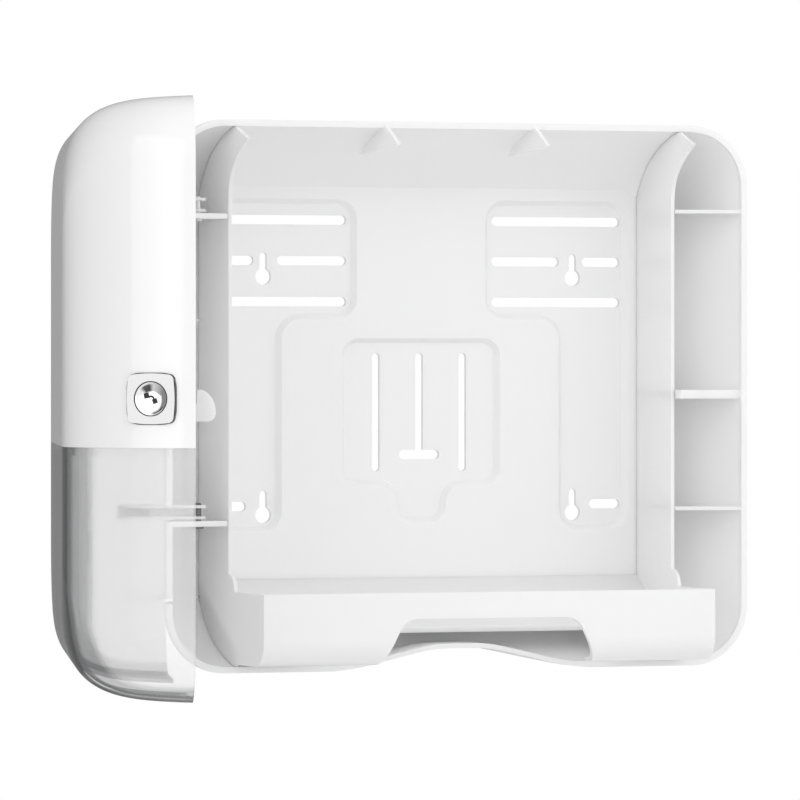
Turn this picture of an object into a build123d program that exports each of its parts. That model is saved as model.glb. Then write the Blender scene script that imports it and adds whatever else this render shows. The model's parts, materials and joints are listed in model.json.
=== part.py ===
from build123d import *
import math
import os

os.makedirs("parts", exist_ok=True)

# Cover outline, from which the housing's rim takes its size.
cover_width = 332.0
cover_height = 291.6
cover_corner_radius = 34.0
cover_wall = 1.9
beyond = cover_width
rim_side_gap = 0.5
rim_end_gap = 0.4

# Rear housing. Depths are measured from the wall towards the user.
rim_width = cover_width - 2 * (cover_wall + rim_side_gap)
rim_height = cover_height - 2 * (cover_wall + rim_end_gap)
rim_corner_radius = cover_corner_radius - cover_wall + rim_end_gap
housing_depth = 64.6
housing_wall = 2.5
rim_flange_width = 3.4
rim_flange_depth = 2.8
panel_front = 5.9
panel_wall = 2.5
back_inset = 33.0
wall_lean = 0.26
corner_tightening = 0.4

# Wall pads, pressed back from the panel until they lie on the wall.
pad_wall = 2.5
pad_bevel_angle = 36.0
pad_inner_edge = 36.5
pad_side_margin = 11.5
pad_top_margin = 6.3
pad_outer_edge = rim_width / 2 - back_inset - pad_side_margin
pad_top = rim_height / 2 - back_inset - pad_top_margin
pad_step = 40.8
pad_leg_edge = 79.0
pad_bottom = -72.0
pad_radius = 11.0
recess_half_width = 45.2
recess_top = 30.6
recess_bottom = -47.8
recess_tab_half_width = 14.1
recess_tab_bottom = -67.8
recess_radius = 9.5

# Screw keyholes and the level and upright slots in the pads.
keyhole_spacing_x = 176.6
keyhole_spacing_z = 126.0
keyhole_radius = 4.4
keyhole_neck_width = 4.1
keyhole_neck_rise = 10.6
slot_width = 5.0
slot_heights = (93.1, 49.8)
slot_inner_end = 41.5
slot_end_margin = 3.4
slot_outer_end = pad_outer_edge - slot_end_margin
split_slot_height = 71.5
split_slot_ends = (80.5, 93.7)
short_slot_height = -58.5
short_slot_length = 17.7
centre_slot_width = 4.4
centre_slot_offset = 24.7
centre_slot_top = 22.6
centre_slot_bottom = -40.4
tee_bar_height = -31.5
tee_bar_half_length = 11.5

# Ribs between the cradle and the housing walls.
rib_heights = (98.0, -60.2)
rib_thickness = 1.9
rib_front_at_fence = 54.0
rib_front_slope = 0.29
keeper_height = 0.7
keeper_thickness = 4.6
keeper_bar_front = 61.8
keeper_bar_depth = 1.8
keeper_slot_back = 48.5
hinge_rib_thickness = 2.8

# Small fins that steer the towels at the top.
fin_offset = 42.0
fin_thickness = 2.0
fin_root = 1.2
fin_root_depths = (28.0, 46.0, 58.0)
fin_tip_depth = 83.0
fin_drop = 12.5
fin_tip_height = rim_height / 2 - fin_drop

# Raised middle of the housing's lower edge.
wave_shape = ((0.0, 11.2), (14.0, 10.9), (28.0, 8.4), (42.5, 5.0), (56.0, 2.0))
wave_foot_half_width = 72.0
wave_depth = 30.0

# Towel cradle: two side fences with the ramp, floor and lip of the tray between them.
fence_side_room = 39.6
fence_inner_half_width = rim_width / 2 - fence_side_room
fence_thickness = 1.9
fence_front = 54.0
fence_clearance = 0.4
tray_front = 108.6
tray_wall = 2.2
lip_height = 37.5
tray_end_room = 4.6
tray_bottom = -rim_height / 2 + tray_end_room
lip_top = tray_bottom + lip_height
tray_radius = 13.0
ramp_rise = 42.2
ramp_top = tray_bottom + ramp_rise
ramp_slope = 0.608
fence_foot_radius = 9.0
arch_half_width = 58.7
arch_top_half_width = 48.0
arch_rise = 23.9
arch_top = tray_bottom + arch_rise
arch_radius = 11.0
exit_back = 50.0
exit_front_edge = 91.0
exit_hole_half_width = 86.0
exit_hole_radius = 7.0

# Cover, described closed, with its rim parallel to the wall.
cover_rim_depth = 61.7
cover_corner_tightening = 0.15
cover_depth = 61.7
side_rounding = 70.0
end_rounding = 60.0
end_fullness = 4.0
end_lean = 0.045
cover_steps = (0, 20, 40, 55, 67, 77, 84, 90)
window_top = -23.2
window_tongue_height = 8.0
window_tongue_wall = 1.3
window_gap = 0.2
window_tongue_gap = 1.0
exit_half_length = 70.0
exit_front = 112.0
exit_corner_radius = 8.0

# Hinge.
hinge_inset = 25.7
hinge_x = hinge_inset - cover_width / 2
hinge_depth = 46.2
open_angle = 106.4
hinge_pin_radius = 2.0
hinge_running_gap = 0.08
hinge_pin_head_radius = 3.3
hinge_pin_head = 1.2
hinge_rib_centres = (93.6, -66.15)
arm_flange_offsets = (3.0, 8.8)
arm_flange_thickness = 1.5
arm_end_radius = 4.6
arm_foot_start = 70.0
arm_foot_end = 87.0
arm_seat_gap = 0.15
notch_back = 20.0
notch_gap = 1.4
finger_heights = (39.5, -105.0)
finger_thickness = 1.7
finger_tip_depth = 44.0
finger_foot_end = 84.0

# Lock in the free side wall of the cover.
lock_rise = 21.0
lock_height = 0.3
face_size = 24.2
face_bulge = 0.9
face_corner_radius = 2.8
face_front = 0.8
face_seat = -2.0
face_gap = 0.3
boss_size = 30.0
boss_back = -5.5
sleeve_radius = 8.6
sleeve_back = -13.0
sleeve_hole_gap = 0.12
plug_face_radius = 8.4
plug_face_depth = 1.6
plug_radius = 5.6
plug_gap = 0.08
clamp_thickness = 1.2
nut_across_flats = 21.0
nut_thickness = 3.0
cam_thickness = 1.5
cam_gap = 0.4
cam_hub_radius = 5.0
cam_reach = 8.0
cam_peg_radius = 1.3
cam_peg_length = 5.6
cam_screw_radius = 1.5
cam_screw_head_radius = 3.0
cam_screw_head = 1.6
keyway_width = 1.6
keyway_length = 7.0
keyway_depth = 5.0

# Latch hook behind the lock.
hook_inset = 28.0
hook_x = cover_width / 2 - hook_inset
hook_thickness = 3.0
hook_pivot_depth = 76.0
hook_pivot_height = -4.0
hook_boss_radius = 4.2
hook_tip_height = 4.5
hook_notch_bottom = -2.1
hook_bottom = -10.7
hook_tip_depth = 50.5
hook_prong_back = 57.2
hook_prong_front = 59.8
hook_notch_front = 62.3
hook_shelf_width = 8.0
hook_shelf_start = 65.0
hook_shelf_end = 69.0
hook_shelf_top = 1.8
hook_shank_top = 0.2
pivot_pin_radius = 1.6
ear_thickness = 1.4
ear_gap = 0.3
bracket_floor_top = -13.0


def front_plane(depth):
    """Plane seen from the front: across, up, growing towards the user."""
    return Plane(origin=(0, -depth, 0), x_dir=(1, 0, 0), z_dir=(0, -1, 0))


def side_plane(x):
    """Plane seen from the side: depth, up."""
    return Plane(origin=(x, 0, 0), x_dir=(0, -1, 0), z_dir=(-1, 0, 0))


def level_plane(z):
    """Plane seen from above: across, depth."""
    return Plane(origin=(0, 0, z), x_dir=(1, 0, 0), z_dir=(0, 0, -1))


def outline(points):
    """Flat face through the points, facing its plane's own way whichever way round they run."""
    area = sum(a[0] * b[1] - a[1] * b[0] for a, b in zip(points, points[1:] + points[:1]))
    ordered = points if area > 0 else points[::-1]
    return Polygon(*ordered, align=None)


def slab_x(points, x_from, x_to):
    middle = (x_from + x_to) / 2
    return extrude(side_plane(middle) * outline(points), abs(x_to - x_from) / 2, both=True)


def slab_z(points, z_from, z_to):
    middle = (z_from + z_to) / 2
    return extrude(level_plane(middle) * outline(points), abs(z_to - z_from) / 2, both=True)


def block(x_from, x_to, depth_from, depth_to, z_from, z_to):
    corners = [(x_from, depth_from), (x_to, depth_from), (x_to, depth_to), (x_from, depth_to)]
    return slab_z(corners, z_from, z_to)


def slot_between(x_from, z_from, x_to, z_to, width):
    """Round-ended through slot in the back panel."""
    length = math.hypot(x_to - x_from, z_to - z_from)
    turn = math.degrees(math.atan2(z_to - z_from, x_to - x_from))
    middle = Pos((x_from + x_to) / 2, (z_from + z_to) / 2)
    face = middle * Rot(0, 0, turn) * SlotOverall(length, width)
    return extrude(front_plane(-1) * face, panel_front + 3)


# Rear housing

def bowl_inset(depth, lining=0.0):
    """How far the housing wall lies inside the rim at a depth."""
    run = housing_depth - depth
    full_run = housing_depth - panel_front + panel_wall
    growth = back_inset - wall_lean * full_run
    return wall_lean * run + growth * (run / full_run) ** 3 + lining


def bowl_section(depth, lining=0.0):
    inset = bowl_inset(depth, lining)
    radius = rim_corner_radius - corner_tightening * (inset - lining) - lining
    shape = RectangleRounded(rim_width - 2 * inset, rim_height - 2 * inset, radius)
    return front_plane(depth) * shape


def bowl_form(start, lining=0.0):
    depths = [start + (housing_depth - start) * share for share in (0, 0.16, 0.33, 0.52, 0.75, 1)]
    return loft([bowl_section(depth, lining) for depth in depths])


def bowl_edge_height(depth, lining=housing_wall):
    """Height of the inner face of the housing's top wall at a depth."""
    return rim_height / 2 - bowl_inset(depth, lining)


def side_pad_outline(side):
    points = [
        (pad_inner_edge, pad_step),
        (pad_inner_edge, pad_top),
        (pad_outer_edge, pad_top),
        (pad_outer_edge, pad_bottom),
        (pad_leg_edge, pad_bottom),
        (pad_leg_edge, pad_step),
    ]
    shape = outline([(side * x, z) for x, z in points])
    return fillet(shape.vertices(), pad_radius)


def centre_recess_outline():
    points = [
        (-recess_half_width, recess_top),
        (recess_half_width, recess_top),
        (recess_half_width, recess_bottom),
        (recess_tab_half_width, recess_bottom),
        (recess_tab_half_width, recess_tab_bottom),
        (-recess_tab_half_width, recess_tab_bottom),
        (-recess_tab_half_width, recess_bottom),
        (-recess_half_width, recess_bottom),
    ]
    shape = outline(points)
    return fillet(shape.vertices(), recess_radius)


def pads(outlines):
    solid = Part()
    for shape in outlines:
        solid += extrude(front_plane(0) * shape, panel_front - panel_wall / 2)
    return solid


def pad_hollows(outlines):
    solid = Part()
    depth = panel_front - pad_wall
    for shape in outlines:
        solid += extrude(front_plane(panel_front) * shape, -depth, taper=pad_bevel_angle)
    return solid


def keyhole(x, z):
    hole = extrude(front_plane(-1) * Pos(x, z) * Circle(keyhole_radius), panel_front + 3)
    neck_end = z + keyhole_neck_rise + keyhole_neck_width / 2
    return hole + slot_between(x, z, x, neck_end, keyhole_neck_width)


def panel_openings():
    cuts = Part()
    for side in (-1, 1):
        for height in slot_heights:
            cuts += slot_between(side * slot_inner_end, height, side * slot_outer_end, height, slot_width)
        for ends in ((slot_inner_end, split_slot_ends[0]), (split_slot_ends[1], slot_outer_end)):
            cuts += slot_between(
                side * ends[0], split_slot_height, side * ends[1], split_slot_height, slot_width
            )
        cuts += slot_between(
            side * (slot_outer_end - short_slot_length),
            short_slot_height,
            side * slot_outer_end,
            short_slot_height,
            slot_width,
        )
        for level in (-1, 1):
            cuts += keyhole(side * keyhole_spacing_x / 2, level * keyhole_spacing_z / 2)
    for x in (-centre_slot_offset, 0, centre_slot_offset):
        bottom = centre_slot_bottom if x else tee_bar_height
        cuts += slot_between(x, centre_slot_top, x, bottom, centre_slot_width)
    cuts += slot_between(
        -tee_bar_half_length, tee_bar_height, tee_bar_half_length, tee_bar_height, slot_width
    )
    return cuts


def rib_points(side, inner_x):
    """Level rib from the fence out past the housing wall."""
    outer_x = rim_width / 2
    outer_front = rib_front_at_fence + rib_front_slope * (outer_x - inner_x)
    points = [(inner_x, panel_front - 1), (inner_x, rib_front_at_fence)]
    points += [(outer_x, outer_front), (outer_x, panel_front - 1)]
    return [(side * x, depth) for x, depth in points]


def housing_ribs():
    inner_x = fence_inner_half_width + fence_thickness + fence_clearance
    ribs = Part()
    for height in rib_heights:
        points = rib_points(1, inner_x)
        ribs += slab_z(points, height - rib_thickness / 2, height + rib_thickness / 2)
    for height in hinge_rib_centres:
        points = rib_points(-1, inner_x)
        ribs += slab_z(points, height - hinge_rib_thickness / 2, height + hinge_rib_thickness / 2)
    low = keeper_height - keeper_thickness / 2
    high = keeper_height + keeper_thickness / 2
    keeper = block(inner_x, rim_width / 2, panel_front - 1, keeper_bar_front, low, high)
    slot_from = hook_x - 1
    slot_to = hook_x + hook_thickness + 1
    slot_front = keeper_bar_front - keeper_bar_depth
    keeper -= block(slot_from, slot_to, keeper_slot_back, slot_front, low - 1, high + 1)
    return ribs + keeper


def top_fins():
    fins = Part()
    crest = [(depth, bowl_edge_height(depth) + fin_root) for depth in fin_root_depths]
    points = crest + [
        (housing_depth - 0.7, bowl_edge_height(housing_depth, 0) - 0.7),
        (housing_depth + 0.6, bowl_edge_height(housing_depth, 0) - 2.2),
        (fin_tip_depth, fin_tip_height),
        (fin_tip_depth - 7, fin_tip_height - 1.6),
        (52.0, fin_tip_height - 2.0),
        (fin_root_depths[0], bowl_edge_height(fin_root_depths[0]) - 0.6),
    ]
    for x in (-fin_offset, fin_offset):
        fins += slab_x(points, x - fin_thickness / 2, x + fin_thickness / 2)
    return fins


def wave_outline(lift):
    """Smooth hump over the middle of the lower edge, with room below it."""
    edge = -rim_height / 2
    foot = (wave_foot_half_width, edge + lift)
    crest = [(x, edge + rise + lift) for x, rise in wave_shape]
    right = crest[1:] + [foot]
    left = [(-x, z) for x, z in right[::-1]]
    with BuildSketch() as sketch:
        with BuildLine():
            Spline(*left, crest[0], *right, tangents=((1, 0.1), (1, -0.1)))
            Polyline(foot, (foot[0], edge - 6), (-foot[0], edge - 6), (-foot[0], foot[1]))
        make_face()
    return sketch.sketch


def rear_housing():
    outer = bowl_form(panel_front - panel_wall)
    inner = bowl_form(panel_front, housing_wall)
    back = front_plane(housing_depth - rim_flange_depth)
    ring = RectangleRounded(rim_width, rim_height, rim_corner_radius)
    ring -= RectangleRounded(
        rim_width - 2 * rim_flange_width,
        rim_height - 2 * rim_flange_width,
        rim_corner_radius - rim_flange_width,
    )
    outlines = [side_pad_outline(-1), side_pad_outline(1), centre_recess_outline()]
    body = outer - inner
    body += extrude(back * ring, rim_flange_depth)
    body += housing_ribs() & outer
    body += top_fins()
    body += pads(outlines)
    body -= pad_hollows(outlines)
    body -= panel_openings()
    wave_start = housing_depth - wave_depth
    wave_wall = wave_outline(housing_wall) - wave_outline(0)
    body += extrude(front_plane(wave_start) * wave_wall, wave_depth) & outer
    body -= extrude(front_plane(wave_start - 30) * wave_outline(0), wave_depth + 31)
    arm_bottom, arm_top = arm_flange_offsets
    for centre in hinge_rib_centres:
        low = centre + hinge_rib_thickness / 2
        high = centre + arm_top + arm_flange_thickness / 2 + notch_gap
        body -= block(-rim_width, hinge_x, notch_back, housing_depth + 1, low, high)
        bore = Pos(hinge_x, -hinge_depth, centre) * Cylinder(hinge_pin_radius, 2 * hinge_rib_thickness)
        body -= bore
    for height in finger_heights:
        reach = finger_thickness / 2 + notch_gap
        body -= block(-rim_width, hinge_x, notch_back, housing_depth + 1, height - reach, height + reach)
    return body


def hinge_pin(centre):
    top = arm_flange_offsets[1] + arm_flange_thickness / 2 + 1.2
    bottom = -hinge_rib_thickness / 2
    place = Pos(hinge_x, -hinge_depth, centre)
    stem = place * Pos(0, 0, (top + bottom) / 2) * Cylinder(hinge_pin_radius, top - bottom)
    head = place * Pos(0, 0, bottom - hinge_pin_head / 2) * Cylinder(hinge_pin_head_radius, hinge_pin_head)
    pin = stem + head
    return chamfer(pin.edges().group_by(Axis.Z)[-1], 0.6)


# Towel cradle

def fence_outline():
    """Side fence: runs up to a fin at the top and carries the tray's end below."""
    top = rim_height / 2
    fin_top = (housing_depth, top - rim_flange_width - fence_clearance)
    with BuildSketch() as sketch:
        with BuildLine():
            Polyline((panel_front, top), (housing_depth, top), fin_top, (fin_tip_depth, fin_tip_height + 2))
            Spline(
                (fin_tip_depth, fin_tip_height + 2),
                (fin_tip_depth - 8, fin_tip_height - 2),
                (fence_front + 5, fin_tip_height - 14),
                (fence_front, fin_tip_height - 38),
                tangents=((-1, -0.5), (0, -1)),
            )
            Line((fence_front, fin_tip_height - 38), (fence_front, lip_top + fence_foot_radius))
            RadiusArc(
                (fence_front, lip_top + fence_foot_radius),
                (fence_front + fence_foot_radius, lip_top),
                fence_foot_radius,
                short_sagitta=True,
            )
            Polyline(
                (fence_front + fence_foot_radius, lip_top),
                (tray_front, lip_top),
                (tray_front, tray_bottom + tray_radius),
            )
            RadiusArc(
                (tray_front, tray_bottom + tray_radius),
                (tray_front - tray_radius, tray_bottom),
                tray_radius,
                short_sagitta=True,
            )
            Polyline(
                (tray_front - tray_radius, tray_bottom),
                (housing_depth, tray_bottom),
                (housing_depth, -top),
                (panel_front, -top),
                (panel_front, top),
            )
        make_face()
    return sketch.sketch


def fence_room():
    """Space that the fences may fill: the housing's inside and all that lies in front of it."""
    step = housing_depth - rim_flange_depth - fence_clearance
    reach = rim_height / 2 - rim_flange_width - fence_clearance
    inside = bowl_form(panel_front, housing_wall + fence_clearance)
    inside = inside & block(-beyond, beyond, 0, step, -beyond, beyond)
    return inside + block(-beyond, beyond, step, tray_front + 5, -reach, reach)


def tray_profile():
    """Section of the ramp, the floor and the lip."""
    floor_start = panel_front + (ramp_top - tray_bottom) / ramp_slope
    with BuildLine() as line:
        FilletPolyline(
            (panel_front, ramp_top - tray_wall / 2),
            (floor_start, tray_bottom + tray_wall / 2),
            (tray_front - tray_wall / 2, tray_bottom + tray_wall / 2),
            (tray_front - tray_wall / 2, lip_top),
            radius=tray_radius - tray_wall / 2,
        )
    return line


def arch_cut():
    low = tray_bottom - 5
    points = [
        (-arch_half_width - 4, low),
        (-arch_half_width, low + 7),
        (-arch_top_half_width, arch_top),
        (arch_top_half_width, arch_top),
        (arch_half_width, low + 7),
        (arch_half_width + 4, low),
    ]
    shape = outline(points)
    corners = shape.vertices().sort_by(Axis.Y)[-2:]
    shape = fillet(corners, arch_radius)
    return extrude(front_plane(exit_back) * shape, tray_front - exit_back + 5)


def exit_hole():
    """Wide slot across the foot of the ramp and the floor of the tray."""
    length = exit_front_edge - exit_back
    shape = RectangleRounded(2 * exit_hole_half_width, length, exit_hole_radius)
    centre = Pos(0, exit_back + length / 2)
    return extrude(level_plane(tray_bottom - 5) * centre * shape, -30)


def towel_cradle():
    half = fence_inner_half_width
    with BuildPart() as tray:
        with BuildSketch(side_plane(0)):
            with BuildLine() as line:
                add(tray_profile().line)
            trace(line.line, tray_wall)
        extrude(amount=half, both=True)
    solid = tray.part
    solid -= block(-beyond, beyond, -20, panel_front, -beyond, 0)
    solid -= arch_cut()
    solid -= exit_hole()
    room = fence_room()
    for side in (-1, 1):
        middle = side * (half + fence_thickness / 2)
        fence = extrude(side_plane(middle) * fence_outline(), fence_thickness / 2, both=True)
        solid += fence & room
    return solid


# Cover

def cover_section(degrees, lining=0.0):
    """Outline of the cover part of the way round from its rim at 0 to its front at 90 degrees."""
    turn = math.radians(degrees)
    rise = math.sin(turn)
    side_inset = side_rounding * (1 - math.cos(turn)) + lining
    fall = 1 - max(1 - rise**end_fullness, 0) ** (1 / end_fullness)
    end_inset = end_lean * cover_depth * rise + end_rounding * fall + lining
    depth = cover_rim_depth + (cover_depth - lining) * rise
    radius = cover_corner_radius - cover_corner_tightening * cover_depth * rise - lining
    shape = RectangleRounded(cover_width - 2 * side_inset, cover_height - 2 * end_inset, radius)
    return front_plane(depth) * shape


def cover_form(lining=0.0):
    return loft([cover_section(degrees, lining) for degrees in cover_steps])


def cover_side_inset(rise):
    return side_rounding * (1 - math.sqrt(1 - (rise / cover_depth) ** 2))


def lock_lean():
    """Angle between the lock's axis and the level line across the cover."""
    rise = lock_rise / cover_depth
    slope = side_rounding / cover_depth * rise / math.sqrt(1 - rise**2)
    return math.degrees(math.atan(slope))


def lock_plane(out=0.0):
    """Plane across the lock's axis: x runs back towards the rim, y runs up."""
    lean = math.radians(lock_lean())
    normal = Vector(math.cos(lean), -math.sin(lean), 0)
    centre = Vector(
        cover_width / 2 - cover_side_inset(lock_rise), -(cover_rim_depth + lock_rise), lock_height
    )
    towards_rim = Vector(math.sin(lean), math.cos(lean), 0)
    return Plane(origin=centre + normal * out, x_dir=towards_rim, z_dir=normal)


def between(shape, back, front):
    """Extrude a face of the lock plane between two distances along the lock's axis."""
    return extrude(lock_plane(back) * shape, front - back)


def square_face(size, bulge, radius):
    half = size / 2
    corner = half - bulge
    with BuildSketch() as sketch:
        with BuildLine():
            ThreePointArc((-corner, -corner), (0, -half), (corner, -corner))
            ThreePointArc((corner, -corner), (half, 0), (corner, corner))
            ThreePointArc((corner, corner), (0, half), (-corner, corner))
            ThreePointArc((-corner, corner), (-half, 0), (-corner, -corner))
        make_face()
        fillet(sketch.vertices(), radius)
    return sketch.sketch


def finger(height):
    """Thin rib that runs back past the rim on the hinge side."""
    wall_x = -cover_width / 2
    points = [
        (wall_x + cover_wall / 2, cover_rim_depth + 5),
        (wall_x + 4.0, cover_rim_depth),
        (wall_x + 4.0, finger_tip_depth + 2),
        (wall_x + 5.5, finger_tip_depth),
        (wall_x + 8.0, finger_tip_depth + 1),
        (wall_x + 10.0, cover_rim_depth),
        (wall_x + 10.0, finger_foot_end),
        (wall_x + 6.0, finger_foot_end),
    ]
    return slab_z(points, height - finger_thickness / 2, height + finger_thickness / 2)


def whole_cover():
    outer = cover_form()
    shell = outer - cover_form(cover_wall)
    for height in finger_heights:
        rib = finger(height)
        shell += rib & (outer + block(-cover_width, 0, 0, cover_rim_depth, -beyond, beyond))
    shell += between(RectangleRounded(boss_size, boss_size, 4), boss_back, -cover_wall / 3) & outer
    pocket = square_face(face_size + 2 * face_gap, face_bulge, face_corner_radius)
    shell -= between(pocket, face_seat, 12)
    shell -= between(Circle(sleeve_radius + sleeve_hole_gap), boss_back - 1, 12)
    exit_shape = fillet(
        Rectangle(2 * exit_half_length, exit_front - cover_rim_depth + 20).vertices(), exit_corner_radius
    )
    centre = (exit_front + cover_rim_depth - 20) / 2
    shell -= extrude(level_plane(-cover_height / 2 - 5) * Pos(0, centre) * exit_shape, -20)
    return shell


def cover_shell(shell):
    return shell & block(-beyond, beyond, 0, beyond, window_top, beyond)


def cover_window(shell):
    window = shell & block(-beyond, beyond, 0, beyond, -beyond, window_top - window_gap / 2)
    tongue = cover_form(cover_wall + window_gap) - cover_form(cover_wall + window_gap + window_tongue_wall)
    tongue_back = housing_depth + window_tongue_gap
    limits = block(-beyond, beyond, tongue_back, beyond, window_top - 4, window_top + window_tongue_height)
    joint = cover_form(cover_wall / 2) - cover_form(cover_wall + window_gap + window_tongue_wall / 2)
    joint = joint & block(-beyond, beyond, tongue_back, beyond, window_top - 4, window_top - window_gap / 2)
    return window + (tongue & limits) + joint


def hinge_arm(rib_centre):
    points = [
        (hinge_x - arm_end_radius, hinge_depth),
        (hinge_x - arm_end_radius, cover_rim_depth + 1),
        (hinge_x - 13, arm_foot_start),
        (-cover_width / 2 - 2, arm_foot_start),
        (-cover_width / 2 - 2, arm_foot_end),
        (hinge_x - 12, arm_foot_end),
        (hinge_x + arm_end_radius, arm_foot_start + 3),
        (hinge_x + arm_end_radius, hinge_depth),
    ]
    arm = Part()
    for offset_z in arm_flange_offsets:
        middle = rib_centre + offset_z
        low = middle - arm_flange_thickness / 2
        arm += slab_z(points, low, low + arm_flange_thickness)
        arm += Pos(hinge_x, -hinge_depth, middle) * Cylinder(arm_end_radius, arm_flange_thickness)
    foot_low = rib_centre + arm_flange_offsets[0]
    foot_high = rib_centre + arm_flange_offsets[1]
    arm += block(-cover_width / 2 - 2, hinge_x - 15, arm_foot_start, arm_foot_end, foot_low, foot_high)
    web_x = hinge_x - arm_end_radius
    arm += block(web_x, web_x + arm_flange_thickness, hinge_depth + 7, arm_foot_start, foot_low, foot_high)
    seat = cover_form(cover_wall + arm_seat_gap)
    arm = arm & (seat + block(-cover_width, 0, 0, cover_rim_depth, -beyond, beyond))
    bore = Pos(hinge_x, -hinge_depth, rib_centre) * Cylinder(hinge_pin_radius + hinge_running_gap, 60)
    return arm - bore


# Lock and latch

def lock_body():
    face = between(square_face(face_size, face_bulge, face_corner_radius), face_seat, face_front)
    sleeve = between(Circle(sleeve_radius), sleeve_back, face_seat + 0.5)
    body = face + sleeve
    body -= between(Circle(plug_face_radius + plug_gap), face_front - plug_face_depth, face_front + 5)
    body -= between(Circle(plug_radius + plug_gap), sleeve_back - 1, face_front + 5)
    return body


def lock_plug():
    plug = between(Circle(plug_face_radius), face_front - plug_face_depth + plug_gap, face_front - 0.2)
    plug += between(Circle(plug_radius), sleeve_back - cam_gap, face_front - plug_face_depth + 0.5)
    keyway = Rectangle(keyway_width, keyway_length) + Pos(0, keyway_length / 2) * Rectangle(3, 2.2)
    keyway += Pos(0, -keyway_length / 2) * Rectangle(3, 2.2)
    plug -= between(Rot(0, 0, 35) * keyway, face_front - keyway_depth, face_front + 1)
    screw_hole = between(Circle(cam_screw_radius), sleeve_back - cam_gap - 1, sleeve_back + 4)
    return plug - screw_hole


def lock_nut():
    back = boss_back - clamp_thickness - nut_thickness
    shape = RegularPolygon(nut_across_flats / 2, 6, major_radius=False)
    nut = between(shape, back, boss_back - clamp_thickness)
    return nut - between(Circle(sleeve_radius), back - 1, boss_back)


def lock_cam():
    front = sleeve_back - cam_gap
    back = front - cam_thickness
    lever = Circle(cam_hub_radius) + Pos(0, cam_reach) * Circle(cam_peg_radius + 0.9)
    lever += Pos(0, cam_reach / 2) * Rectangle(2 * cam_peg_radius + 1.8, cam_reach)
    cam = between(lever, back, front)
    cam += between(Pos(0, cam_reach) * Circle(cam_peg_radius), back - cam_peg_length, front)
    return cam - between(Circle(cam_screw_radius), back - 1, front + 1)


def cam_screw():
    seat = sleeve_back - cam_gap - cam_thickness
    screw = between(Circle(cam_screw_radius), seat, sleeve_back + 3.5)
    head = between(Circle(cam_screw_head_radius), seat - cam_screw_head, seat)
    head -= between(Rectangle(0.8, 2 * cam_screw_head_radius), seat - cam_screw_head, seat - 0.9)
    return screw + head


def latch_hook():
    with BuildSketch() as sketch:
        with BuildLine():
            Polyline(
                (hook_pivot_depth, hook_shank_top),
                (hook_notch_front, hook_shank_top),
                (hook_notch_front, hook_notch_bottom),
                (hook_prong_front, hook_notch_bottom),
                (hook_prong_front, hook_tip_height),
                (hook_prong_back, hook_tip_height),
            )
            ThreePointArc(
                (hook_prong_back, hook_tip_height),
                (hook_tip_depth + 1.2, -1.6),
                (hook_tip_depth + 0.4, -6.5),
            )
            ThreePointArc(
                (hook_tip_depth + 0.4, -6.5), (hook_tip_depth + 1.4, -9.4), (hook_tip_depth + 4, hook_bottom)
            )
            Polyline(
                (hook_tip_depth + 4, hook_bottom),
                (hook_notch_front, hook_bottom),
                (hook_pivot_depth, hook_pivot_height - hook_boss_radius),
                (hook_pivot_depth, hook_shank_top),
            )
        make_face()
        with Locations((hook_pivot_depth, hook_pivot_height)):
            Circle(hook_boss_radius)
    middle = hook_x + hook_thickness / 2
    hook = extrude(side_plane(middle) * sketch.sketch, hook_thickness / 2, both=True)
    hook += block(
        hook_x,
        hook_x + hook_thickness + hook_shelf_width,
        hook_shelf_start,
        hook_shelf_end,
        hook_shank_top - 0.4,
        hook_shelf_top,
    )
    bore = Circle(pivot_pin_radius + hinge_running_gap)
    place = Pos(hook_pivot_depth, hook_pivot_height)
    return hook - extrude(side_plane(middle) * place * bore, hook_thickness, both=True)


def ear_positions():
    outer = hook_x + hook_thickness + ear_gap
    return ((hook_x - ear_gap - ear_thickness, hook_x - ear_gap), (outer, outer + ear_thickness))


def latch_bracket():
    half = nut_across_flats / 2
    clamp_back = boss_back - clamp_thickness
    height = bracket_floor_top - clamp_thickness - lock_height
    clamp = Rectangle(2 * half, half - height, align=(Align.CENTER, Align.MIN))
    bracket = between(Pos(0, height) * clamp, clamp_back, boss_back)
    inner_x = ear_positions()[0][0]
    plane = lock_plane(boss_back)
    near = plane.from_local_coords(Vector(half, 0, 0))
    far = plane.from_local_coords(Vector(-half, 0, 0))
    floor = [
        (near.X, -near.Y),
        (far.X, -far.Y),
        (inner_x, hook_pivot_depth + 5.5),
        (inner_x, hook_pivot_depth - 5.5),
    ]
    bracket += slab_z(floor, bracket_floor_top - clamp_thickness, bracket_floor_top)
    low = bracket_floor_top - clamp_thickness
    for ear_from, ear_to in ear_positions():
        ear = [
            (hook_pivot_depth - 4, low),
            (hook_pivot_depth - 4, hook_pivot_height + 3.6),
            (hook_pivot_depth + 4, hook_pivot_height + 3.6),
            (hook_pivot_depth + 4, low),
        ]
        bracket += slab_x(ear, ear_from, ear_to)
    bracket -= between(Circle(sleeve_radius + sleeve_hole_gap), clamp_back - 1, boss_back + 1)
    bore = Circle(pivot_pin_radius)
    place = Pos(hook_pivot_depth, hook_pivot_height)
    return bracket - extrude(side_plane(hook_x) * place * bore, 12, both=True)


def latch_pivot_pin():
    start = ear_positions()[0][0]
    end = ear_positions()[1][1]
    place = Pos(hook_pivot_depth, hook_pivot_height)
    middle = (start + end) / 2
    pin = extrude(side_plane(middle) * place * Circle(pivot_pin_radius), (end - start) / 2, both=True)
    head_middle = start - 0.6
    head = extrude(side_plane(head_middle) * place * Circle(pivot_pin_radius + 0.9), 0.6, both=True)
    return pin + head


def opened(solid):
    """Turn a piece of the closed cover to the photographed open place."""
    return solid.rotate(Axis((hinge_x, -hinge_depth, 0), (0, 0, 1)), -open_angle)


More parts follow.
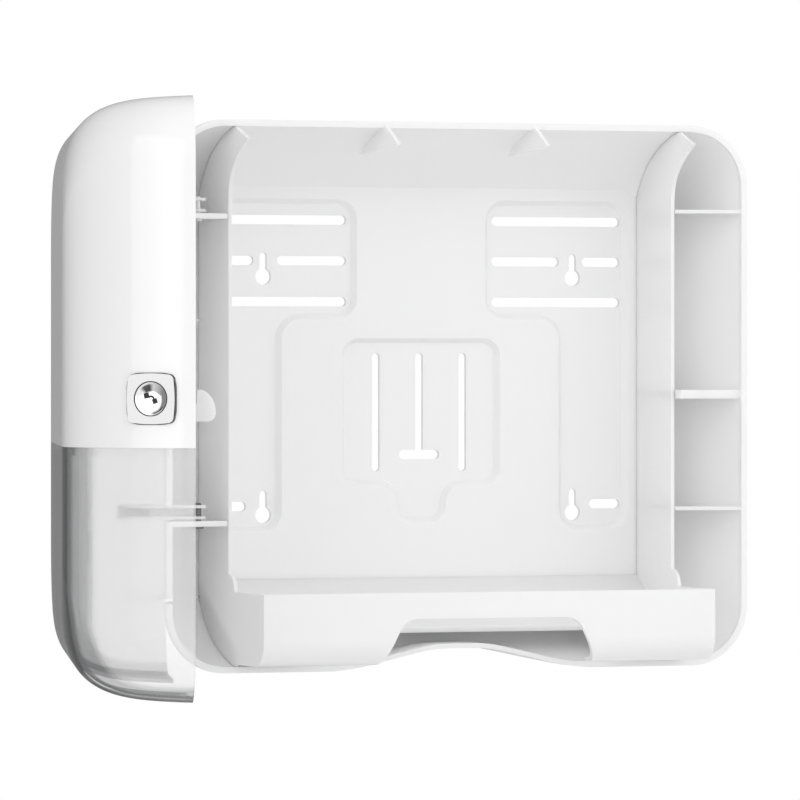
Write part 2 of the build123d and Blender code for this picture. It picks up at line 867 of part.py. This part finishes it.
closed_shell = whole_cover()
pieces = {
    "rear_housing": rear_housing(),
    "towel_cradle": towel_cradle(),
    "hinge_pin_upper": hinge_pin(hinge_rib_centres[0]),
    "hinge_pin_lower": hinge_pin(hinge_rib_centres[1]),
    "cover_shell": opened(cover_shell(closed_shell)),
    "cover_window": opened(cover_window(closed_shell)),
    "hinge_arm_upper": opened(hinge_arm(hinge_rib_centres[0])),
    "hinge_arm_lower": opened(hinge_arm(hinge_rib_centres[1])),
    "lock_body": opened(lock_body()),
    "lock_plug": opened(lock_plug()),
    "lock_nut": opened(lock_nut()),
    "lock_cam": opened(lock_cam()),
    "cam_screw": opened(cam_screw()),
    "latch_bracket": opened(latch_bracket()),
    "latch_pivot_pin": opened(latch_pivot_pin()),
    "latch_hook": opened(latch_hook()),
}

for name, solid in pieces.items():
    export_step(solid.solid(), "parts/" + name + ".step")
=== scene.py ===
import json
import math

import bpy
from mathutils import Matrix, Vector


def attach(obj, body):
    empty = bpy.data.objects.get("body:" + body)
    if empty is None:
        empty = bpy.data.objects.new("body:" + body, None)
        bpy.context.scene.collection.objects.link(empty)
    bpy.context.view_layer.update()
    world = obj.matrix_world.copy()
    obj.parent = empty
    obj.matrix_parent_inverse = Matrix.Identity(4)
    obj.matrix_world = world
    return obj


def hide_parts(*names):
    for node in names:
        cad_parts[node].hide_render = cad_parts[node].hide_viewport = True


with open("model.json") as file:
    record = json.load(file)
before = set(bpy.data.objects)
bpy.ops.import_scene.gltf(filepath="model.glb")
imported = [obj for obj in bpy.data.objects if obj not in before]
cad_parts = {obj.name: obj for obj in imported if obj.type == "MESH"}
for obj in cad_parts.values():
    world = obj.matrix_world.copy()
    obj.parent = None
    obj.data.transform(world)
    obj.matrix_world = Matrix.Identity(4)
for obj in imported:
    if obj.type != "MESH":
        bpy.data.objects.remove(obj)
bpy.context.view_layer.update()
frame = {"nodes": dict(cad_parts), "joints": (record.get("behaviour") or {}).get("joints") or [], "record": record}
print("stage: frame loaded")


# Camera

camera = {
    "turn": 21.0,  # degrees to the left of the housing's own front
    "distance": 3.652,  # metres from the middle of the wall face
    "height": 0.0173,
    "focalPixels": 6845.0,
    "imagePixels": 800.0,
    "centreX": 417.4,  # pixel that the camera points at
    "centreY": 363.0,
    "sensor": 36.0,
    "farthest": 60.0,
}


def makeCamera(c):
    data = bpy.data.cameras.new("photoCamera")
    data.sensor_width = c["sensor"]
    data.lens = c["focalPixels"] / c["imagePixels"] * c["sensor"]
    data.shift_x = (c["imagePixels"] / 2 - c["centreX"]) / c["imagePixels"]
    data.shift_y = (c["centreY"] - c["imagePixels"] / 2) / c["imagePixels"]
    data.clip_end = c["farthest"]
    obj = bpy.data.objects.new("photoCamera", data)
    bpy.context.scene.collection.objects.link(obj)
    turn = math.radians(c["turn"])
    obj.location = (-c["distance"] * math.sin(turn), -c["distance"] * math.cos(turn), c["height"])
    obj.rotation_euler = (math.radians(90), 0, -turn)
    bpy.context.scene.camera = obj


makeCamera(camera)
print("stage: camera placed")


# Shader maths as plain sums on sockets

class Wire:
    def __init__(self, tree, out):
        self.tree = tree
        self.out = out

    def maths(self, operation, other=None, turned=False):
        first, second = (1, 0) if turned else (0, 1)
        node = self.tree.nodes.new("ShaderNodeMath")
        node.operation = operation
        self.tree.links.new(self.out, node.inputs[first])
        if isinstance(other, Wire):
            self.tree.links.new(other.out, node.inputs[second])
        elif other is not None:
            node.inputs[second].default_value = other
        return Wire(self.tree, node.outputs[0])

    def __add__(self, other):
        return self.maths("ADD", other)

    def __radd__(self, other):
        return self.maths("ADD", other)

    def __sub__(self, other):
        return self.maths("SUBTRACT", other)

    def __rsub__(self, other):
        return self.maths("SUBTRACT", other, True)

    def __mul__(self, other):
        return self.maths("MULTIPLY", other)

    def __rmul__(self, other):
        return self.maths("MULTIPLY", other)

    def __truediv__(self, other):
        return self.maths("DIVIDE", other)

    def clamped(self):
        return self.maths("MAXIMUM", 0.0).maths("MINIMUM", 1.0)


# Node tree of a material or of the world

class Shader:
    def __init__(self, owner):
        self.owner = owner
        owner.use_nodes = True
        self.tree = owner.node_tree
        self.tree.nodes.clear()

    def node(self, kind, settings=None, out=0, **sockets):
        node = self.tree.nodes.new(kind)
        for key, value in (settings or {}).items():
            setattr(node, key, value)
        for key, value in sockets.items():
            self.put(node, key, value)
        return Wire(self.tree, node.outputs[out])

    # Base_Color means the socket Base Color, and i6 the seventh input
    def put(self, node, key, value):
        numbered = key[0] == "i" and key[1:].isdigit()
        socket = node.inputs[int(key[1:]) if numbered else key.replace("_", " ")]
        if isinstance(value, Wire):
            self.tree.links.new(value.out, socket)
        else:
            socket.default_value = value

    def coords(self, kind="Object"):
        return self.node("ShaderNodeTexCoord", out=kind)

    def place(self, scale=(1, 1, 1)):
        return self.node("ShaderNodeMapping", Vector=self.coords(), Scale=scale)

    def noise(self, place, size, detail=2.0):
        return self.node("ShaderNodeTexNoise", Vector=place, Scale=1.0 / size, Detail=detail)

    def dot(self, first, direction):
        settings = {"operation": "DOT_PRODUCT"}
        return self.node("ShaderNodeVectorMath", settings, out="Value", i0=first, i1=tuple(direction))

    def mix(self, factor, low, high):
        return self.node("ShaderNodeMix", {"data_type": "RGBA"}, out=2, i0=factor, i6=low, i7=high)

    def bump(self, height, depth, strength):
        return self.node("ShaderNodeBump", Height=height, Distance=depth, Strength=strength)

    def ray(self, kind):
        return self.node("ShaderNodeLightPath", out="Is " + kind + " Ray")

    def surface(self, **sockets):
        return self.end(self.node("ShaderNodeBsdfPrincipled", **sockets))

    def end(self, surface, output="ShaderNodeOutputMaterial"):
        node = self.tree.nodes.new(output)
        self.tree.links.new(surface.out, node.inputs["Surface"])
        return self.owner


def newShader(name):
    return Shader(bpy.data.materials.new(name))


def grey(level):
    return (level, level, level, 1.0)


def rampUp(value, span):
    return ((value - span[0]) / (span[1] - span[0])).clamped()


# White mouldings: the satin one for the housing, cradle and arms, the gloss one for the cover

whiteSatin = {
    "colour": 0.95,
    "drift": 0.006,  # how far the colour strays either way
    "patch": 0.05,  # size of a patch that strays
    "roughness": 0.36,
    "roughDrift": 0.03,
    "grain": 0.0006,
    "grainDepth": 0.00001,
    "glow": 0.6,  # share of the light that passes through the wall
    "glowDepth": 0.006,
    "coat": 0.15,
}
whiteGloss = {
    "colour": 0.92,
    "drift": 0.004,
    "patch": 0.05,
    "roughness": 0.14,
    "roughDrift": 0.03,
    "grain": 0.0025,
    "grainDepth": 0.000001,
    "glow": 0.0,
    "glowDepth": 0.004,
    "coat": 0.6,
}


def makeWhite(name, w):
    s = newShader(name)
    place = s.place()
    patch = s.noise(place, w["patch"], 3.0)
    fine = s.noise(place, w["grain"])
    return s.surface(
        Base_Color=s.mix(patch, grey(w["colour"] - w["drift"]), grey(w["colour"] + w["drift"])),
        Roughness=patch * (2 * w["roughDrift"]) + (w["roughness"] - w["roughDrift"]),
        Normal=s.bump(fine, w["grainDepth"], 0.5),
        IOR=1.5,
        Subsurface_Weight=w["glow"],
        Subsurface_Radius=(1.0, 1.0, 1.0),
        Subsurface_Scale=w["glowDepth"],
        Coat_Weight=w["coat"],
        Coat_Roughness=0.05,
    )


# Smoke-clear moulding of the window, with painted shade: two dark bands are painted into its colour and alpha
# where it turns away from the camera

smokeClearWithShade = {
    "face": grey(0.94),
    # the bend and edge colours are painted shade for where the window turns away
    "bendShade": (0.30, 0.303, 0.31, 1.0),
    "edge": (0.03, 0.031, 0.033, 1.0),
    "faceAlpha": 0.30,
    "bendAlpha": 0.40,
    "edgeAlpha": 0.90,
    "bendFrom": (0.38, 0.46),  # share of turning away over which a painted shade band sets in
    "edgeFrom": (0.68, 0.76),
    "patch": 0.06,
    "roughness": 0.04,
    "roughDrift": 0.03,
}


def makeWindow(name, w):
    s = newShader(name)
    patch = s.noise(s.place(), w["patch"])
    away = s.node("ShaderNodeLayerWeight", out="Facing", Blend=0.5)
    # painted shade masks, rising as the surface turns away from the camera
    bendShade = rampUp(away, w["bendFrom"])
    edge = rampUp(away, w["edgeFrom"])
    toBend = w["bendAlpha"] - w["faceAlpha"]
    toEdge = w["edgeAlpha"] - w["bendAlpha"]
    return s.surface(
        Base_Color=s.mix(edge, s.mix(bendShade, w["face"], w["bendShade"]), w["edge"]),
        Roughness=patch * w["roughDrift"] + w["roughness"],
        IOR=1.5,
        Alpha=bendShade * toBend + edge * toEdge + w["faceAlpha"],
    )


# Brushed steel of the pins, the nut and the lock's hidden parts

brightSteel = {
    "level": 0.62,
    "drift": 0.03,
    "streak": 0.0012,
    "stretch": (1, 1, 12),  # the streaks run round
    "roughness": 0.24,
    "roughDrift": 0.16,
    "streakDepth": 0.000006,
}


def makeSteel(name, w):
    s = newShader(name)
    streak = s.noise(s.place(w["stretch"]), w["streak"], 3.0)
    return s.surface(
        Base_Color=s.mix(streak, grey(w["level"] - w["drift"]), grey(w["level"] + w["drift"])),
        Metallic=1.0,
        Roughness=streak * w["roughDrift"] + w["roughness"],
        Normal=s.bump(streak, w["streakDepth"], 0.4),
    )


# Place of the lock, whose axis runs level out of the cover

lockJoint = next(j for j in frame["joints"] if j["name"] == "lock_turn")
lockCentre = Vector(lockJoint["pos_m"])
lockOut = -Vector(lockJoint["axis"]).normalized()
lockUp = Vector((0, 0, 1))
lockSide = lockUp.cross(lockOut)


def lockPoint(side, up, out):
    return lockCentre + lockSide * side + lockUp * up + lockOut * out


def fromLock(s, direction):
    settings = {"operation": "SUBTRACT"}
    offset = s.node("ShaderNodeVectorMath", settings, i0=s.coords(), i1=tuple(lockCentre))
    return s.dot(offset, direction)


# Chrome of the lock's square frame, with painted light: bright painted on its front faces and dark painted on its
# sides

frameChromePaintedShade = {
    "front": 0.57,
    "side": 0.16,
    "paintedShadeSpan": (0.4, 0.8),  # how squarely a face looks out, from the painted dark to the painted bright
    "drift": 0.02,
    "streak": 0.0012,
    "roughness": 0.12,
    "roughDrift": 0.04,
    "streakDepth": 0.000004,
}


def makeFrameChrome(name, w):
    s = newShader(name)
    streak = s.noise(s.place(), w["streak"], 3.0)
    # painted light: faces looking straight out get the bright colour, faces turned aside get the painted dark
    front = rampUp(s.dot(s.coords("Normal"), lockOut), w["paintedShadeSpan"])
    bright = s.mix(streak, grey(w["front"] - w["drift"]), grey(w["front"] + w["drift"]))
    return s.surface(
        Base_Color=s.mix(front, grey(w["side"]), bright),
        Metallic=1.0,
        Roughness=streak * w["roughDrift"] + w["roughness"],
        Normal=s.bump(streak, w["streakDepth"], 0.3),
    )


# Chrome of the turned lock face, with two dark lobes painted in: a painted reflection of the lobes a spun dish
# shows

turnedChromePaintedReflection = {
    "level": 0.86,
    "dark": 0.10,
    "darkReflectionLobes": (  # painted reflection lobes: middle and half width in degrees, then inner and outer radius
        (112.0, 34.0, 0.0028, 0.0074),
        (-62.0, 34.0, 0.0058, 0.0080),
    ),
    "core": 1.8,  # above 1 the lobe has a plain dark middle
    "innerFade": 0.0012,
    "outerFade": 0.0008,
    "grain": 0.0008,
    "roughness": 0.08,
    "roughDrift": 0.04,
}


def makeTurnedChrome(name, w):
    s = newShader(name)
    side = fromLock(s, lockSide)
    up = fromLock(s, lockUp)
    radius = (side * side + up * up).maths("SQRT")
    angle = up.maths("ARCTAN2", side) * (180 / math.pi)
    # painted reflection: dark lobes laid into the colour round the lock's axis
    shade = None
    for middle, half, low, high in w["darkReflectionLobes"]:
        lobe = (1.0 - (angle - middle).maths("ABSOLUTE") / half).clamped()
        inner = rampUp(radius, (low, low + w["innerFade"]))
        outer = rampUp(radius, (high - w["outerFade"], high))
        part = (lobe * w["core"]).clamped() * inner * (1.0 - outer)
        shade = part if shade is None else shade + part
    return s.surface(
        Base_Color=s.mix(shade.clamped(), grey(w["level"]), grey(w["dark"])),
        Metallic=1.0,
        Roughness=s.noise(s.place(), w["grain"]) * w["roughDrift"] + w["roughness"],
    )


# Matt dark colour painted as shade in the groove, in the keyway and in the gap round the lock's frame

def makeShadeDark(name, level, roughness):
    s = newShader(name)
    patch = s.noise(s.place(), 0.001)
    return s.surface(
        Base_Color=s.mix(patch, grey(level * 0.8), grey(level * 1.2)),
        Roughness=patch * 0.1 + roughness,
    )


# Lower hinge pin, coloured dark with fine light and dark rings along its length

ringedPin = {
    "pitch": 0.0009,
    "ringDepth": 0.0001,
    "dark": 0.05,
    "light": 0.30,
    "roughness": 0.3,
    "roughDrift": 0.1,
}


def makeRingedPin(name, w):
    s = newShader(name)
    height = s.node("ShaderNodeSeparateXYZ", out="Z", Vector=s.coords())
    ring = (height * (2 * math.pi / w["pitch"])).maths("SINE") * 0.5 + 0.5
    return s.surface(
        Base_Color=s.mix(ring, grey(w["dark"]), grey(w["light"])),
        Metallic=1.0,
        Roughness=ring * w["roughDrift"] + w["roughness"],
        Normal=s.bump(ring, w["ringDepth"], 0.6),
    )


finish = {
    "white_plastic": makeWhite("whiteSatin", whiteSatin),
    "white_gloss": makeWhite("whiteGloss", whiteGloss),
    "smoke_clear": makeWindow("smokeClearWithShade", smokeClearWithShade),
    "steel": makeSteel("brightSteel", brightSteel),
    "lock_chrome": makeFrameChrome("frameChromePaintedShade", frameChromePaintedShade),
}

for sub in frame["record"]["subparts"]:
    obj = frame["nodes"][sub["node"]]
    obj.data.materials.clear()
    obj.data.materials.append(finish[sub["material_slot"]])
frame["nodes"]["hinge_pin_lower"].data.materials[0] = makeRingedPin("ringedPin", ringedPin)
print("stage: finishes set")


def meshPiece(name, points, faces, materials):
    mesh = bpy.data.meshes.new(name)
    mesh.from_pydata([tuple(p) for p in points], [], faces)
    for material in materials:
        mesh.materials.append(material)
    mesh.update()
    piece = bpy.data.objects.new(name, mesh)
    bpy.context.scene.collection.objects.link(piece)
    return piece


# Turned lock face with its dish and the groove round it
# Lengths along the axis are from the lock's centre, outwards

lockPlug = {
    "front": 0.0006,
    "back": -0.00072,
    "radius": 0.00838,
    "groove": 0.0005,  # width of the groove, painted dark as shade, with the lip beside it
    "grooveDepth": 0.0005,
    "lip": 0.0001,
    "dish": 0.0009,
    "dishSteps": 8,
    "flat": 0.0030,  # radius of the flat in the middle of the dish
    "rimFlat": 0.0004,
    "rimDrop": 0.0001,
    "barrel": 0.0056,
    "barrelBack": -0.0134,
    "steps": 72,
}


def plugProfile(p):
    edge = p["radius"] - p["groove"]
    bottom = p["front"] - p["dish"]
    grooveBottom = p["front"] - p["grooveDepth"]
    slope = edge - p["rimFlat"] - p["flat"]
    rise = p["dish"] - p["rimDrop"]
    shares = [step / p["dishSteps"] for step in range(p["dishSteps"] + 1)]
    rows = [(p["flat"] + slope * share, bottom + rise * share**2) for share in shares]
    rows += [(edge, p["front"]), (edge + p["lip"], grooveBottom)]
    rows += [(p["radius"] - p["lip"], grooveBottom), (p["radius"], p["front"] - p["lip"])]
    rows += [(p["radius"], p["back"]), (p["barrel"], p["back"]), (p["barrel"], p["barrelBack"])]
    return rows


def makePlug(p):
    rows = plugProfile(p)
    count = p["steps"]
    grooveRows = range(p["dishSteps"] + 1, p["dishSteps"] + 4)
    points, faces = [], []
    for radius, out in rows:
        for step in range(count):
            turn = 2 * math.pi * step / count
            points.append(lockPoint(radius * math.cos(turn), radius * math.sin(turn), out))
    for row in range(len(rows) - 1):
        for step in range(count):
            a = row * count + step
            b = row * count + (step + 1) % count
            faces.append((a, a + count, b + count, b))
    last = (len(rows) - 1) * count
    faces += [tuple(range(count)), tuple(range(last, last + count))[::-1]]
    # the second material paints the groove dark as shade
    materials = [makeTurnedChrome("turnedChromePaintedReflection", turnedChromePaintedReflection), makeShadeDark("grooveShade", 0.12, 0.5)]
    piece = meshPiece("lock_plug_turned", points, faces, materials)
    for polygon in piece.data.polygons:
        row = polygon.index // count
        isRing = len(polygon.vertices) == 4
        polygon.use_smooth = isRing and row < p["dishSteps"]
        polygon.material_index = 1 if isRing and row in grooveRows else 0
    return piece


# Keyway in the middle of the dish, a thin sheet painted dark as the shade inside the keyhole: two turned squares
# joined by an arc

keyway = {
    "squares": (  # across, up, half width, turn in degrees
        (-0.0025, 0.0015, 0.0013, 12.0),
        (0.0018, -0.0011, 0.0012, 20.0),
    ),
    "arcCentre": (-0.0002, -0.0003),
    "arcRadius": 0.0019,
    "arcWidth": 0.0009,
    "arcFrom": 140.0,
    "arcTo": 5.0,
    "arcSteps": 14,
    "proud": 0.00008,
    "sunk": 0.0002,
}


def squareOutline(x, y, half, turn):
    reach = half * math.sqrt(2)
    angles = [math.radians(turn + 45 + 90 * i) for i in range(4)]
    return [(x + reach * math.cos(a), y + reach * math.sin(a)) for a in angles]


def arcOutline(k):
    x, y = k["arcCentre"]
    swing = k["arcTo"] - k["arcFrom"]
    turns = [math.radians(k["arcFrom"] + swing * i / k["arcSteps"]) for i in range(k["arcSteps"] + 1)]
    inner = k["arcRadius"] - k["arcWidth"]
    points = [(x + k["arcRadius"] * math.cos(a), y + k["arcRadius"] * math.sin(a)) for a in turns]
    points += [(x + inner * math.cos(a), y + inner * math.sin(a)) for a in turns[::-1]]
    return points[::-1]


def prism(outline, low, high):
    count = len(outline)
    points = [lockPoint(x, y, out) for out in (low, high) for x, y in outline]
    faces = [tuple(range(count))[::-1], tuple(range(count, 2 * count))]
    faces += [(i, (i + 1) % count, count + (i + 1) % count, count + i) for i in range(count)]
    return points, faces


def makeKeyway(k, p):
    bottom = p["front"] - p["dish"]
    points, faces = [], []
    for outline in [squareOutline(*square) for square in k["squares"]] + [arcOutline(k)]:
        more, extra = prism(outline, bottom - k["sunk"], bottom + k["proud"])
        faces += [tuple(len(points) + i for i in face) for face in extra]
        points += more
    # the keyway sheet is painted near-black as the shade inside the keyhole
    return meshPiece("lock_keyway", points, faces, [makeShadeDark("keywayShade", 0.02, 0.6)])


# Painted shadow: a dark ring put round the lock's frame, in the gap between it and the cover, where there is only
# shade

lockGapShade = {
    "inner": 0.01214,  # half widths of the square ring
    "outer": 0.01246,
    "power": 4.5,  # 2 would be round, and more is squarer
    "low": -0.00195,
    "high": 0.0001,
    "steps": 96,
}


def makeGapShade(c):
    count = c["steps"]
    inner, outer, low, high = c["inner"], c["outer"], c["low"], c["high"]
    points, faces = [], []
    for half, out in ((inner, high), (outer, high), (outer, low), (inner, low)):
        for step in range(count):
            turn = 2 * math.pi * step / count
            x, y = math.cos(turn), math.sin(turn)
            reach = half / (abs(x) ** c["power"] + abs(y) ** c["power"]) ** (1 / c["power"])
            points.append(lockPoint(x * reach, y * reach, out))
    for ring in range(4):
        here, there = ring * count, (ring + 1) % 4 * count
        for step in range(count):
            after = (step + 1) % count
            faces.append((here + step, there + step, there + after, here + after))
    # the ring is painted dark as the shadow line in the gap
    return meshPiece("lock_gap_shade", points, faces, [makeShadeDark("gapShadeDark", 0.12, 0.6)])


plug = makePlug(lockPlug)
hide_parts("lock_plug")
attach(plug, "lock")
keyHole = makeKeyway(keyway, lockPlug)
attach(keyHole, "lock")
gapShadeRing = makeGapShade(lockGapShade)
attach(gapShadeRing, "cover")
print("stage: lock dressed")


# Floor, room and lamps

studio = {
    "floorDrop": 0.30,  # floor below the wall centre
    "floorReach": 6.0,
    "floorColour": 0.9,
    "room": 0.95,
    "dimSide": (-0.707, 0.707, 0.0),  # the room is dim to the left behind the cover
    "dimSpread": 2.0,
    "dimming": 0.5,
    "glossDimming": 0.45,  # how much dimmer still for what gloss shows
    "lamps": {  # place, size and power
        "key": ((-2.4, -1.9, 0.8), 2.8, 21.5),
        "fill": ((2.2, -2.0, 0.6), 2.4, 8.0),
        "top": ((0.0, -2.4, 2.0), 1.6, 1.0),
    },
}


def makeLamp(name, place, size, power):
    data = bpy.data.lights.new(name, "AREA")
    data.shape = "SQUARE"
    data.size = size
    data.energy = power
    obj = bpy.data.objects.new(name, data)
    bpy.context.scene.collection.objects.link(obj)
    obj.location = place
    obj.rotation_euler = (-Vector(place)).to_track_quat("-Z", "Y").to_euler()  # it looks at the wall centre


# Pale floor that keeps the shadow, and is plain white where it is only seen
def makeFloor(c):
    s = newShader("paleFloor")
    seen = s.ray("Camera")
    straight = (seen + s.ray("Glossy") + s.ray("Transmission")).clamped()
    outward = s.node("ShaderNodeVectorMath", {"operation": "NORMALIZE"}, i0=s.coords())
    dim = (s.dot(outward, c["dimSide"]) * c["dimSpread"]).clamped()
    dim = dim * (c["dimming"] * (1.0 + c["glossDimming"]))
    lit = s.node("ShaderNodeBsdfDiffuse", Color=grey(c["floorColour"]))
    white = s.node("ShaderNodeEmission", Color=grey(1.0), Strength=1.0 - dim * (1.0 - seen))
    mesh = bpy.data.meshes.new("floor")
    reach, low = c["floorReach"], -c["floorDrop"]
    corners = [(-reach, -reach, low), (reach, -reach, low), (reach, reach, low), (-reach, reach, low)]
    mesh.from_pydata(corners, [], [(0, 1, 2, 3)])
    mesh.materials.append(s.end(s.node("ShaderNodeMixShader", i0=straight, i1=lit, i2=white)))
    floor = bpy.data.objects.new("floor", mesh)
    bpy.context.scene.collection.objects.link(floor)


def makeRoom(c):
    s = Shader(bpy.data.worlds.new("softRoom"))
    seen = s.ray("Camera")
    shiny = (s.ray("Glossy") + s.ray("Transmission")).clamped()
    dim = (s.dot(s.coords("Generated"), c["dimSide"]) * c["dimSpread"]).clamped() * c["dimming"]
    level = shiny * (1.0 - c["room"]) + c["room"]
    level = level * (1.0 - dim * (shiny * c["glossDimming"] + 1.0))
    strength = seen + (1.0 - seen) * level
    back = s.node("ShaderNodeBackground", Color=grey(1.0), Strength=strength)
    bpy.context.scene.world = s.end(back, "ShaderNodeOutputWorld")


makeFloor(studio)
makeRoom(studio)
for name, (place, size, power) in studio["lamps"].items():
    makeLamp(name, place, size, power)
bpy.context.scene.view_settings.view_transform = "Standard"
print("stage: studio lit")
